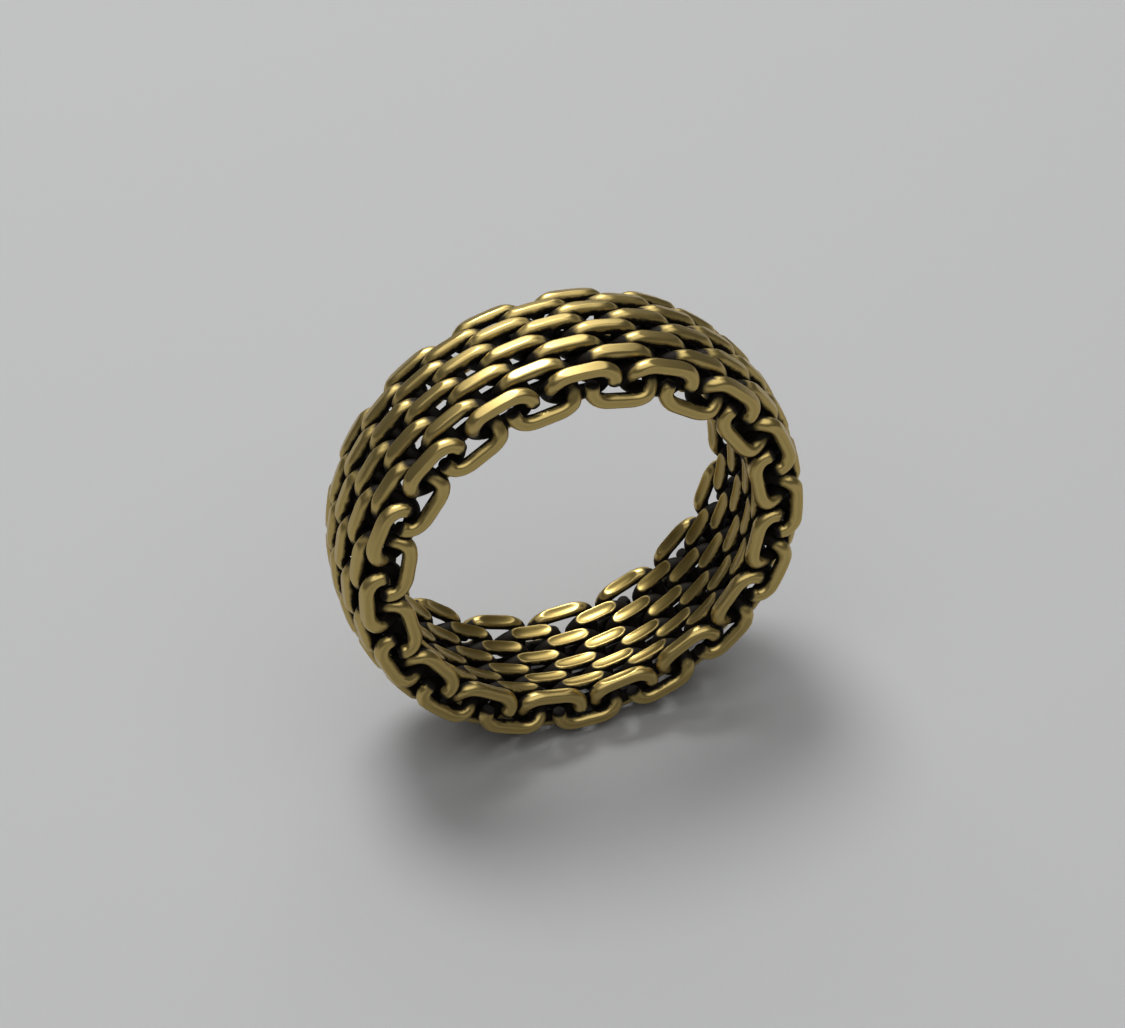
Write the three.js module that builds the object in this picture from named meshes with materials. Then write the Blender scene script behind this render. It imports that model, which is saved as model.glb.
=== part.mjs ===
// A woven chain-mesh finger ring: flattened wire coils, linked side by side into a flexible hoop.
// Millimetres, +Z up. The finger hole runs along Y and the ring stands on its rim.
// The origin is on the surface it stands on, under the middle of the band.
import * as THREE from 'three';

// The wire and the hoop
const fingerDiameter = 17.3;      // clear across the hole at either edge of the band, ring size 7
const wireDiameter = 0.76;        // across the corners of the six-sided solid wire
const wireSides = 6;
const coilCount = 32;             // even, because every other coil is turned half a turn
const rowCount = 8;               // bars side by side from one edge of the band to the other
const rowPitch = 0.85;
const crown = 0.5;                // how far the middle of the band stands out past its edges
const lean = THREE.MathUtils.degToRad(0.55);        // each row lies this far round from the last

// One coil, as seen along its own length
const halfDepth = 0.97;           // from the coil's middle out to its outer bars, and in to its inner bars
const halfLength = 1.48;          // from the coil's middle along to its end bends
const lengthCut = 0.65;           // how much of a bar's half length each bend rounds off
const depthCut = 0.45;            // and how much of the half depth
const tipDepth = 0.1;             // how far past mid-depth a cut end of the wire reaches

// Worked out from those
const bandRadius = fingerDiameter / 2 + wireDiameter / 2 + crown + halfDepth;
const coilSpacing = 2 * Math.PI / coilCount;
const middleRow = (rowCount - 1) / 2;

const brass = { color: 0x9a8548, roughness: 0.38, metalness: 1 };

// A point of a wire in the coil at the bottom of the hoop. It is given as the length along the hoop,
// the depth out from mid-depth, and the row, which is a fraction in a bend.
function pointOnCoil(along, depth, row) {
  const fromMiddle = (row - middleRow) / middleRow;
  const radius = bandRadius + depth - crown * fromMiddle ** 2;
  const point = new THREE.Vector3(along, rowPitch * (row - middleRow), -radius);
  return point.applyAxisAngle(new THREE.Vector3(0, -1, 0), lean * (row - middleRow));
}

// How far a bend has moved towards the next row at the end of its first corner. It steps over steeply
// at mid-depth, so that the bars stay in line with their rows.
const rowShare = 0.5 * (depthCut / halfDepth) ** 3;

// The corners of one coil's wire. It runs along an outer bar, round a bend at one end of the coil,
// back along an inner bar in the next row, and so on, with a hooked, cut end at both edges of the band.
// A coil that is turned is the same coil, half a turn round its own length.
function coilCorners(turned) {
  const side = turned ? -1 : 1;
  const barEnd = halfLength - lengthCut;
  const bendDepth = halfDepth - depthCut;
  const corners = [];
  const add = (along, depth, row) => corners.push(pointOnCoil(side * along, side * depth, row));

  add(-halfLength, -tipDepth, 0);
  add(-halfLength, bendDepth, 0);
  add(-barEnd, halfDepth, 0);
  for (let row = 0; row < rowCount - 1; row += 1) {
    const way = row % 2 === 0 ? 1 : -1;             // outer bars run one way round, inner bars run back
    add(way * barEnd, way * halfDepth, row);
    add(way * halfLength, way * bendDepth, row + rowShare);
    add(way * halfLength, -way * bendDepth, row + 1 - rowShare);
    add(way * barEnd, -way * halfDepth, row + 1);
  }
  add(-barEnd, -halfDepth, rowCount - 1);
  add(-halfLength, -bendDepth, rowCount - 1);
  add(-halfLength, tipDepth, rowCount - 1);
  return corners;
}

// A wire bent at a list of corners, which come in pairs: one at each end of a straight stretch.
// The section is mitred at every corner, and keeps a flat side turned to the inside and the outside
// of the coil along each stretch. The short pieces that round off the bends take up the twist.
class BentWire extends THREE.Curve {
  constructor(corners) {
    super();
    this.corners = corners;
  }

  getSpacedPoints() {
    return this.corners;
  }

  direction(index) {
    return this.corners[index + 1].clone().sub(this.corners[index]).normalize();
  }

  computeFrenetFrames() {
    const frames = { tangents: [], normals: [], binormals: [] };
    const last = this.corners.length - 1;
    this.corners.forEach((corner, index) => {
      const startsStretch = index % 2 === 0;
      const along = this.direction(startsStretch ? index : index - 1);
      const isCutEnd = index === 0 || index === last;
      const past = isCutEnd ? along : this.direction(startsStretch ? index - 1 : index);
      const facing = along.clone().add(past).normalize();
      const mitred = (offset) => {
        return offset.clone().addScaledVector(along, -offset.dot(facing) / along.dot(facing));
      };
      const acrossBand = new THREE.Vector3(0, 1, 0).projectOnPlane(along).normalize();
      frames.tangents.push(facing);
      frames.binormals.push(mitred(acrossBand));
      frames.normals.push(mitred(acrossBand.clone().cross(along)));
    });
    return frames;
  }
}

// The wire's section: a polygon with its corners on the wire's circle and a flat side facing +x.
function wireSection() {
  const points = [];
  for (let corner = 0; corner < wireSides; corner += 1) {
    const angle = 2 * Math.PI * (corner + 0.5) / wireSides;
    points.push(new THREE.Vector2(Math.cos(angle), Math.sin(angle)).multiplyScalar(wireDiameter / 2));
  }
  return new THREE.Shape(points);
}

function coilGeometry(turned) {
  const corners = coilCorners(turned);
  return new THREE.ExtrudeGeometry(wireSection(), {
    steps: corners.length - 1,
    extrudePath: new BentWire(corners),
  });
}

const straightCoil = coilGeometry(false);
const turnedCoil = coilGeometry(true);

// Coil 01 is at the bottom, and 02 is beside it towards +X.
const hoop = new THREE.Group();
for (let place = 0; place < coilCount; place += 1) {
  const geometry = place % 2 === 0 ? straightCoil : turnedCoil;
  const coil = new THREE.Mesh(geometry, new THREE.MeshStandardMaterial(brass));
  coil.name = `mesh_coil_${String(place + 1).padStart(2, '0')}`;
  coil.rotation.y = -coilSpacing * place;
  hoop.add(coil);
}

// Stand the hoop on z = 0.
hoop.position.z = -new THREE.Box3().setFromObject(hoop, true).min.z;

export default hoop;
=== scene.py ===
import math

import bpy
from mathutils import Euler, Matrix, Vector
from mathutils.bvhtree import BVHTree


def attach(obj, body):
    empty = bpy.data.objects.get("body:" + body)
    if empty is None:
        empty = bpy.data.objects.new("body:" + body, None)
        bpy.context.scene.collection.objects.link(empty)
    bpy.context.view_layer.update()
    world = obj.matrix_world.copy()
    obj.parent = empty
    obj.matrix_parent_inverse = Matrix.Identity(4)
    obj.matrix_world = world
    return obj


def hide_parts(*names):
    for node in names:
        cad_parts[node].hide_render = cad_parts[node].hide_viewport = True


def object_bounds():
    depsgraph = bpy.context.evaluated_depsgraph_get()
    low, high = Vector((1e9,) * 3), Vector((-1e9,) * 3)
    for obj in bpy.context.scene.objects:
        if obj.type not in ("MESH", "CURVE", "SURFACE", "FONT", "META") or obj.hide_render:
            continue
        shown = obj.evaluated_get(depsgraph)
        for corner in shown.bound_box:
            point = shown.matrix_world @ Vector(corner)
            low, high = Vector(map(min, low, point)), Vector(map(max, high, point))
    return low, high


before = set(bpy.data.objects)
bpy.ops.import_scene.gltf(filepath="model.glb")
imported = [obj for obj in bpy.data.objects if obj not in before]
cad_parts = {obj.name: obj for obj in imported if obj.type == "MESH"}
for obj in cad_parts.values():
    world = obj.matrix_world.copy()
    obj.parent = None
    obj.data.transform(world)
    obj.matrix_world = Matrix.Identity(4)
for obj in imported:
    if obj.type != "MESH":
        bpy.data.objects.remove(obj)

# Woven mesh ring: a hoop of flattened wire coils, each threaded through the next one.
# Metres throughout; the ring stands on its rim and its hole runs along Y.

mm = 0.001
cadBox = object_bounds()
hub = (cadBox[0] + cadBox[1]) / 2          # middle of the finger hole
nodeNames = sorted(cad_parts)
coilStep = 2 * math.pi / len(nodeNames)

coil = {
    "rows": 8,
    "rowPitch": 0.85 * mm,
    "wire": 0.75 * mm,
    "bandRadius": 10.5 * mm,               # hub to the middle of the band's thickness
    "halfDepth": 0.97 * mm,                # from there to the middle of a bar
    "crown": 0.5 * mm,                     # how much nearer the hub the two edges lie
    "lean": math.radians(0.55),            # each row is turned this far past the one before
    "halfLength": 1.52 * mm,               # from a coil's middle to its end bends
    "cut": (0.68 * mm, 0.45 * mm),         # what a bend cuts off a bar's half length and half depth
    "edgeCut": (0.58 * mm, 0.43 * mm),     # the same along the two edges
    "rounding": {"outer": 0.36 * mm, "inner": 0.62 * mm, "edge": 0.46 * mm},
    "bow": 0.11 * mm,                      # an inner bar swells this far in the middle, and falls at its ends
    "hook": 0.1 * mm,                      # how far past mid-depth a hooked end reaches
    "cornerPoints": 9,
    "rings": 480,                          # sections along the wire
    "sides": 40,
    "nip": 0.3 * mm,                       # length over which a cut end narrows
    "nipScale": 0.78,
    "ground": 0.095 * mm,                  # what wear has taken off the inside
    "dish": 0.45,                          # how hollow that flat is, as a share of what it lost
    "rub": 0.05 * mm,                      # off the outside
    "edgeRub": 0.05 * mm,                  # and off the two edges
    "innerSink": 1.6,                      # how much sooner the patina and painted shade start beside an inner flat
    "taper": 0.22 / mm,                    # how fast the bright flat of an inner bar narrows to a point
    "edgeShift": -3 * mm,                  # keeps the bars along the edges bright to their ends
    "edgeRowWidth": 0.45,                  # half the width of an edge row, in rows
    "dent": 0.006 * mm,
    "dentScale": 900.0,
    "dentDetail": 1.0,
    "seed": 7,
}
rowPitch = coil["rowPitch"]
middleRow = (coil["rows"] - 1) / 2


# along is measured from the coil's middle, depth outwards, and rows are counted along Y
def pointInBand(along, depth, row):
    fromMiddle = (row - middleRow) / middleRow
    radius = coil["bandRadius"] + depth - coil["crown"] * fromMiddle ** 2
    point = Vector((along, rowPitch * (row - middleRow), -radius))
    return Matrix.Rotation(-coil["lean"] * (row - middleRow), 3, "Y") @ point


# one coil at the foot of the hoop, around the hub: a list of (corner, how far it is rounded)
def coilCorners(turned):
    side = -1 if turned else 1
    length, depth, lastRow = coil["halfLength"], coil["halfDepth"], coil["rows"] - 1
    corners = []

    def add(along, out, row):
        isOuter = side * out > 0
        reach = coil["rounding"]["outer" if isOuter else "inner"]
        if row in (0, lastRow):
            reach = coil["rounding"]["edge"]
        if not isOuter and abs(out) > depth / 2 and 0 < row < lastRow:
            out += math.copysign(coil["bow"] * (1 if along == 0 else -1), out)
        corners.append((pointInBand(side * along, side * out, row), reach))

    def addBar(row, way):
        cut, drop = coil["edgeCut" if row in (0, lastRow) else "cut"]
        step = 0.5 * (drop / depth) ** 3       # a bend is this far into the next row after its first corner
        add(-way * length, way * (depth - drop), row - step if row > 0 else row)
        add(-way * (length - cut), way * depth, row)
        if side * way < 0:
            add(0, way * depth, row)
        add(way * (length - cut), way * depth, row)
        add(way * length, way * (depth - drop), row + step if row < lastRow else row)

    add(-length, -coil["hook"], 0)
    for row in range(coil["rows"]):
        addBar(row, 1 if row % 2 == 0 else -1)
    add(-length, coil["hook"], lastRow)
    return corners


# the same path with a soft curve at every corner
def rounded(corners):
    points = [corners[0][0]]
    for (before, _), (corner, reach), (after, _) in zip(corners, corners[1:], corners[2:]):
        start = corner + (before - corner) * min(reach / (before - corner).length, 0.5)
        end = corner + (after - corner) * min(reach / (after - corner).length, 0.5)
        for i in range(coil["cornerPoints"]):
            share = i / (coil["cornerPoints"] - 1)
            points.append(start.lerp(corner, share).lerp(corner.lerp(end, share), share))
    points.append(corners[-1][0])
    return points


def pathObject(name, points):
    line = bpy.data.curves.new(name, "CURVE")
    line.dimensions = "3D"
    spline = line.splines.new("POLY")
    spline.points.add(len(points) - 1)
    for spot, place in zip(spline.points, points):
        spot.co = (*place, 1)
    thing = bpy.data.objects.new(name, line)
    bpy.context.scene.collection.objects.link(thing)
    return thing


def makeTree(name, inputs):
    tree = bpy.data.node_groups.new(name, "GeometryNodeTree")
    tree.interface.new_socket("Geometry", in_out="INPUT", socket_type="NodeSocketGeometry")
    for label, kind in inputs.items():
        tree.interface.new_socket(label, in_out="INPUT", socket_type="NodeSocket" + kind)
    tree.interface.new_socket("Geometry", in_out="OUTPUT", socket_type="NodeSocketGeometry")
    return tree


def addNode(tree, kind, links=None, **settings):
    node = tree.nodes.new(kind)
    for key, value in settings.items():
        setattr(node, key, value)
    for socket, value in (links or {}).items():
        target = node.inputs[socket]
        if isinstance(value, bpy.types.NodeSocket):
            tree.links.new(value, target)
        else:
            target.default_value = value
    return node


def mathNode(tree, operation, *values):
    return addNode(tree, "ShaderNodeMath", dict(enumerate(values)), operation=operation).outputs[0]


# low to high, with soft ends, as the value goes from start to end in either direction
def ramp(tree, value, start, end, low=0.0, high=1.0):
    return addNode(tree, "ShaderNodeMapRange", {
        "Value": value, "From Min": start, "From Max": end, "To Min": low, "To Max": high,
    }, interpolation_type="SMOOTHSTEP").outputs[0]


# the brass reads these distances in millimetres
def storeDistance(tree, shape, name, distance):
    return addNode(tree, "GeometryNodeStoreNamedAttribute", {
        "Geometry": shape, "Name": name, "Value": mathNode(tree, "MULTIPLY", distance, 1 / mm),
    }, data_type="FLOAT", domain="POINT").outputs[0]


# a round section carried along the path, narrower at the cut ends
def sweepWire(tree, source):
    travelled = addNode(tree, "GeometryNodeSplineParameter").outputs["Length"]
    whole = addNode(tree, "GeometryNodeCurveLength", {"Curve": source["Geometry"]}).outputs[0]
    toEnd = mathNode(tree, "MINIMUM", travelled, mathNode(tree, "SUBTRACT", whole, travelled))
    even = addNode(tree, "GeometryNodeResampleCurve", {
        "Curve": source["Geometry"], "Count": source["Rings"],
    })
    circle = addNode(tree, "GeometryNodeCurvePrimitiveCircle", {
        "Resolution": source["Sides"], "Radius": source["Wire Radius"],
    })
    return addNode(tree, "GeometryNodeCurveToMesh", {
        "Curve": storeDistance(tree, even.outputs[0], "toEnd", toEnd),
        "Profile Curve": circle.outputs[0],
        "Fill Caps": True,
        "Scale": ramp(tree, toEnd, 0.0, source["Nip"], low=source["Nip Scale"]),
    }).outputs[0]


# flats worn on the inside, the outside and the two edges, and what the patina and painted shade follow
def wearWire(tree, source, shape):
    def calc(operation, *values):
        return mathNode(tree, operation, *values)

    # distance from the hub's axis, and the worn surfaces, which the crown brings in towards the edges
    place = addNode(tree, "GeometryNodeInputPosition").outputs[0]
    x, y, z = addNode(tree, "ShaderNodeSeparateXYZ", {"Vector": place}).outputs
    distance = calc("SQRT", calc("ADD", calc("MULTIPLY", x, x), calc("MULTIPLY", z, z)))
    sideways = calc("ABSOLUTE", y)
    share = calc("DIVIDE", y, source["Half Width"])
    drop = calc("MULTIPLY", source["Crown"], calc("MULTIPLY", share, share))
    inner = calc("SUBTRACT", source["Ground Radius"], drop)
    outer = calc("SUBTRACT", source["Rub Radius"], drop)

    # what is left of each spot's distance, with hollows in the inner and edge flats
    lost = calc("MAXIMUM", calc("SUBTRACT", inner, distance), 0.0)
    lostEdge = calc("MAXIMUM", calc("SUBTRACT", sideways, source["Edge"]), 0.0)
    dished = calc("MULTIPLY_ADD", lost, source["Dish"], calc("MAXIMUM", distance, inner))
    stretch = calc("DIVIDE", calc("MINIMUM", dished, outer), distance)
    keptEdge = calc("MULTIPLY_ADD", lostEdge, calc("MULTIPLY", source["Dish"], -1.0),
                    calc("MINIMUM", sideways, source["Edge"]))
    narrowed = calc("DIVIDE", keptEdge, calc("MAXIMUM", sideways, 0.001 * mm))
    worn = addNode(tree, "ShaderNodeCombineXYZ", {
        "X": calc("MULTIPLY", x, stretch),
        "Y": calc("MULTIPLY", y, narrowed),
        "Z": calc("MULTIPLY", z, stretch),
    })

    # how far each spot lies along its bar, either way from the middle
    angle = calc("ARCTAN2", x, calc("MULTIPLY", z, -1.0))
    leant = calc("MULTIPLY_ADD", y, source["Lean Rate"], angle)
    endwise = calc("MULTIPLY", calc("ABSOLUTE", leant), source["Band Radius"])

    # how far it lies below the worn surfaces, and more towards the ends of an inner bar
    belowInner = calc("MULTIPLY", calc("SUBTRACT", distance, inner), source["Inner Sink"])
    sunk = calc("MINIMUM", calc("SUBTRACT", outer, distance), belowInner)
    sunk = calc("MINIMUM", sunk, calc("SUBTRACT", source["Edge"], sideways))
    isInner = calc("LESS_THAN", distance, source["Band Radius"])
    isEdge = calc("GREATER_THAN", sideways, source["Edge Row"])
    tapering = calc("MULTIPLY", isInner, calc("SUBTRACT", 1.0, isEdge))
    taper = calc("MULTIPLY", calc("MULTIPLY", endwise, endwise), source["Taper"])
    sunk = calc("MULTIPLY_ADD", tapering, taper, sunk)

    shape = storeDistance(tree, shape, "ground", calc("ADD", lost, lostEdge))
    shape = storeDistance(tree, shape, "endwise", calc("MULTIPLY_ADD", isEdge, source["Edge Shift"], endwise))
    shape = storeDistance(tree, shape, "sunk", sunk)
    return addNode(tree, "GeometryNodeSetPosition", {
        "Geometry": shape, "Position": worn.outputs[0],
    }).outputs[0]


# slight hand-made unevenness
def dentWire(tree, source, shape):
    bumps = addNode(tree, "ShaderNodeTexNoise", {
        "Scale": source["Dent Scale"], "Detail": coil["dentDetail"], "W": source["Seed"],
    }, noise_dimensions="4D")
    centred = addNode(tree, "ShaderNodeVectorMath", {
        0: bumps.outputs["Color"], 1: (0.5, 0.5, 0.5),
    }, operation="SUBTRACT")
    nudge = addNode(tree, "ShaderNodeVectorMath", {
        0: centred.outputs[0], "Scale": source["Dent"],
    }, operation="SCALE")
    return addNode(tree, "GeometryNodeSetPosition", {
        "Geometry": shape, "Offset": nudge.outputs[0],
    }).outputs[0]


def woundWire():
    tree = makeTree("woundWire", {
        "Wire Radius": "Float", "Rings": "Int", "Sides": "Int", "Nip": "Float", "Nip Scale": "Float",
        "Ground Radius": "Float", "Rub Radius": "Float", "Edge": "Float", "Dish": "Float",
        "Crown": "Float", "Half Width": "Float", "Band Radius": "Float", "Lean Rate": "Float",
        "Inner Sink": "Float", "Taper": "Float", "Edge Row": "Float", "Edge Shift": "Float",
        "Dent": "Float", "Dent Scale": "Float", "Seed": "Float",
        "Turn": "Float", "Hub": "Vector", "Material": "Material",
    })
    source = tree.nodes.new("NodeGroupInput").outputs
    worn = wearWire(tree, source, sweepWire(tree, source))
    spin = addNode(tree, "ShaderNodeCombineXYZ", {"Y": source["Turn"]})
    turned = addNode(tree, "GeometryNodeTransform", {
        "Geometry": dentWire(tree, source, worn),
        "Translation": source["Hub"],
        "Rotation": spin.outputs[0],
    })
    smooth = addNode(tree, "GeometryNodeSetShadeSmooth", {"Geometry": turned.outputs[0]})
    real = addNode(tree, "GeometryNodeRealizeInstances", {"Geometry": smooth.outputs[0]})
    painted = addNode(tree, "GeometryNodeSetMaterial", {
        "Geometry": real.outputs[0], "Material": source["Material"],
    })
    sink = tree.nodes.new("NodeGroupOutput")
    tree.links.new(painted.outputs[0], sink.inputs[0])
    return tree


def setInputs(modifier, values):
    for item in modifier.node_group.interface.items_tree:
        if item.item_type == "SOCKET" and item.in_out == "INPUT" and item.name in values:
            modifier[item.identifier] = values[item.name]


def windCoil(name, tree, path, values):
    modifier = path.modifiers.new("woundWire", "NODES")
    modifier.node_group = tree
    setInputs(modifier, values)
    graph = bpy.context.evaluated_depsgraph_get()
    mesh = bpy.data.meshes.new_from_object(path.evaluated_get(graph))
    path.modifiers.remove(modifier)
    piece = bpy.data.objects.new(name, mesh)
    bpy.context.scene.collection.objects.link(piece)
    return piece


brass = {
    "bright": (0.5, 0.375, 0.135, 1),
    "flatShade": (0.25, 0.18, 0.05, 1),         # painted shade on the worn flats: darker, for the dark surroundings they reflect
    "flatShadeShare": 0.6,
    "flatShadeDepths": (0.02, 0.09),            # mm worn off where it starts, and where it is full
    # near black: patina in the hollows, and painted shade where the wires meet and bend under each other
    "patinaAndShade": (0.008, 0.006, 0.004, 1),
    "patinaShadeMetal": 0.85,                   # what the patina and painted shade take off the metallic look
    "roughness": 0.32,
    "patinaShadeRoughness": 0.3,                # and what it adds here
    "specular": 0.12,
    "cloudScale": 1800.0,
    "cloudDetail": 4.0,
    # attribute: how much the clouds blur it, where the patina and painted shade start, and where they are
    # full
    "masks": {
        # occlusion by nearby wire: patina and painted shade in the recesses between wires
        "occlusion": (0.4, 0.22, 0.5),
        # depth below the worn surfaces: patina on the sides of the wires, with painted shade
        "sunk": (0.3, 0.16, 0.4),
        # bar ends, where they bend in under their neighbours: patina and painted shade
        "endwise": (0.5, 1.1, 1.5),
        # cut ends: painted shade in the nipped notch
        "toEnd": (0.3, 0.3, 0.08),
    },
}


def attributeValue(tree, name):
    return addNode(tree, "ShaderNodeAttribute", attribute_name=name).outputs["Fac"]


# sockets 6 and 7 of a colour mix are its two colours, and output 2 is the result
def mixColours(tree, factor, first, second):
    return addNode(tree, "ShaderNodeMix", {
        "Factor": factor, 6: first, 7: second,
    }, data_type="RGBA").outputs[2]


def antiquedBrass():
    look = bpy.data.materials.new("antiquedBrass")
    look.use_nodes = True
    tree = look.node_tree
    shader = tree.nodes["Principled BSDF"]
    place = addNode(tree, "ShaderNodeTexCoord").outputs["Object"]
    clouds = addNode(tree, "ShaderNodeTexNoise", {
        "Vector": place, "Scale": brass["cloudScale"], "Detail": brass["cloudDetail"],
    })
    uneven = mathNode(tree, "SUBTRACT", clouds.outputs[0], 0.5)
    # patina and painted shade: the strongest of the masks
    patinaAndShade = 0.0
    for name, (blur, startsAt, fullAt) in brass["masks"].items():
        blurred = mathNode(tree, "MULTIPLY_ADD", uneven, blur, attributeValue(tree, name))
        patinaAndShade = mathNode(tree, "MAXIMUM", ramp(tree, blurred, startsAt, fullAt), patinaAndShade)
    # painted shade: the worn flats darkened, standing in for the dark surroundings that they reflect
    flatShading = ramp(tree, attributeValue(tree, "ground"), *brass["flatShadeDepths"], high=brass["flatShadeShare"])
    metal = mixColours(tree, flatShading, brass["bright"], brass["flatShade"])
    colour = mixColours(tree, patinaAndShade, metal, brass["patinaAndShade"])
    metallic = mathNode(tree, "MULTIPLY_ADD", patinaAndShade, -brass["patinaShadeMetal"], 1.0)
    roughness = mathNode(tree, "MULTIPLY_ADD", patinaAndShade, brass["patinaShadeRoughness"], brass["roughness"])
    tree.links.new(colour, shader.inputs["Base Color"])
    tree.links.new(metallic, shader.inputs["Metallic"])
    tree.links.new(roughness, shader.inputs["Roughness"])
    shader.inputs["Specular IOR Level"].default_value = brass["specular"]
    return look


occlusionRays = {"count": 48, "length": 1.6 * mm, "lift": 0.01 * mm}


# even directions over a sphere
def sphereRays(count):
    golden = math.pi * (3 - math.sqrt(5))
    rays = []
    for i in range(count):
        z = 1 - 2 * (i + 0.5) / count
        ring = math.sqrt(1 - z * z)
        rays.append(Vector((ring * math.cos(golden * i), ring * math.sin(golden * i), z)))
    return rays


# how hemmed in each vertex is by nearby wire, which the brass darkens as patina and painted shade: the share
# of its rays that meet wire nearby
def occlusionOf(piece, others):
    trees = [BVHTree.FromPolygons([v.co for v in o.data.vertices], [p.vertices for p in o.data.polygons])
             for o in [piece, *others]]
    rays = sphereRays(occlusionRays["count"])
    found = []
    for vertex in piece.data.vertices:
        normal = vertex.normal
        start = vertex.co + normal * occlusionRays["lift"]
        total = met = 0
        for ray in rays:
            weight = ray.dot(normal)
            if weight <= 0:
                continue
            total += weight
            if any(t.ray_cast(start, ray, occlusionRays["length"])[0] is not None for t in trees):
                met += weight
        found.append(met / total)
    return found


halfWidth = rowPitch * middleRow
wireRadius = coil["wire"] / 2
values = {
    "Wire Radius": wireRadius,
    "Rings": coil["rings"],
    "Sides": coil["sides"],
    "Nip": coil["nip"],
    "Nip Scale": coil["nipScale"],
    "Ground Radius": coil["bandRadius"] - coil["halfDepth"] - wireRadius + coil["ground"],
    "Rub Radius": coil["bandRadius"] + coil["halfDepth"] + wireRadius - coil["rub"],
    "Edge": halfWidth + wireRadius - coil["edgeRub"],
    "Dish": coil["dish"],
    "Crown": coil["crown"],
    "Half Width": halfWidth,
    "Band Radius": coil["bandRadius"],
    "Lean Rate": -coil["lean"] / rowPitch,
    "Inner Sink": coil["innerSink"],
    "Taper": coil["taper"],
    "Edge Row": halfWidth - rowPitch * coil["edgeRowWidth"],
    "Edge Shift": coil["edgeShift"],
    "Dent": coil["dent"],
    "Dent Scale": coil["dentScale"],
    "Hub": hub,
    "Material": antiquedBrass(),
}
tree = woundWire()
straightPath = pathObject("straightPath", rounded(coilCorners(False)))
turnedPath = pathObject("turnedPath", rounded(coilCorners(True)))
coils = []
for place, nodeName in enumerate(nodeNames):
    path = turnedPath if place % 2 else straightPath
    values["Seed"] = float(coil["seed"] + place)
    values["Turn"] = -coilStep * place
    coils.append(windCoil(nodeName.replace("mesh_coil", "wireCoil"), tree, path, values))
for path in (straightPath, turnedPath):
    bpy.data.objects.remove(path)
print("coils wound:", len(coils), "with", len(coils[0].data.polygons), "faces each")

# every other coil is alike, so one of each kind is measured, between its two neighbours on both sides
occlusion = [occlusionOf(coils[kind], [coils[kind + step] for step in (-1, 1, -2, 2)]) for kind in (2, 3)]
# the occlusion darkens the brass: patina and painted shade in the recesses
for place, piece in enumerate(coils):
    shade = piece.data.attributes.new("occlusion", "FLOAT", "POINT")
    shade.data.foreach_set("value", occlusion[place % 2])
print("shelter measured:", min(occlusion[0]), max(occlusion[0]))

for piece, nodeName in zip(coils, nodeNames):
    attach(piece, nodeName)
    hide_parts(nodeName)
print("coils placed on their bodies")


stage = {
    "floorSize": 3.0,
    "floorColour": (0.3, 0.3, 0.302, 1),
    "floorRoughness": 0.8,
    "room": (0.1, 0.102, 0.105, 1),
}
# azimuth 0 is behind the ring, towards +Y, and grows towards +X
lights = {
    "keyLight": {"azimuth": -10, "elevation": 68, "distance": 0.5, "size": 0.2, "power": 1.9},
    "softBox": {"azimuth": 190, "elevation": 75, "distance": 0.6, "size": 1.0, "power": 3.4},
    "backLight": {"azimuth": 12, "elevation": 45, "distance": 0.6, "size": 0.6, "power": 1.7},
}
# azimuth 0 is in front of the ring, towards -Y, and grows towards +X
camera = {
    "azimuth": -16.95,
    "elevation": 40.52,
    "roll": -3.56,
    "distance": 150.75 * mm,
    "lens": 98.7,
    "sensor": 36,
    "clip": 1 * mm,
    "aim": Vector((-0.17, 0.09, 11.80)) * mm,
    "shift": (0.001, 0.0018),
}


def addFloor():
    bpy.ops.mesh.primitive_plane_add(size=stage["floorSize"], location=(0, 0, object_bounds()[0].z))
    floor = bpy.context.object
    floor.name = "floor"
    paint = bpy.data.materials.new("palePaper")
    paint.use_nodes = True
    shader = paint.node_tree.nodes["Principled BSDF"]
    shader.inputs["Base Color"].default_value = stage["floorColour"]
    shader.inputs["Roughness"].default_value = stage["floorRoughness"]
    floor.data.materials.append(paint)


# the lamp or camera stands off in the given direction and looks back along it
def standOff(name, data, target, way, distance, roll=0.0):
    thing = bpy.data.objects.new(name, data)
    thing.location = target + way * distance
    rolled = Euler((0, 0, math.radians(roll))).to_quaternion()
    thing.rotation_mode = "QUATERNION"
    thing.rotation_quaternion = way.to_track_quat("Z", "Y") @ rolled
    bpy.context.scene.collection.objects.link(thing)
    return thing


def addAreaLight(name, azimuth, elevation, distance, size, power):
    a, e = math.radians(azimuth), math.radians(elevation)
    way = Vector((math.sin(a) * math.cos(e), math.cos(a) * math.cos(e), math.sin(e)))
    lamp = bpy.data.lights.new(name, "AREA")
    lamp.shape = "DISK"
    lamp.size = size
    lamp.energy = power
    standOff(name, lamp, hub, way, distance)


def addCamera():
    a, e = math.radians(camera["azimuth"]), math.radians(camera["elevation"])
    way = Vector((math.sin(a) * math.cos(e), -math.cos(a) * math.cos(e), math.sin(e)))
    data = bpy.data.cameras.new("camera")
    data.lens = camera["lens"]
    data.sensor_width = camera["sensor"]
    data.clip_start = camera["clip"]
    data.shift_x, data.shift_y = camera["shift"]
    thing = standOff("camera", data, camera["aim"], way, camera["distance"], camera["roll"])
    bpy.context.scene.camera = thing


addFloor()
for name, light in lights.items():
    addAreaLight(name, **light)
room = bpy.data.worlds.new("room")
room.use_nodes = True
room.node_tree.nodes["Background"].inputs["Color"].default_value = stage["room"]
bpy.context.scene.world = room
addCamera()
bpy.context.scene.view_settings.view_transform = "Standard"
print("stage set")
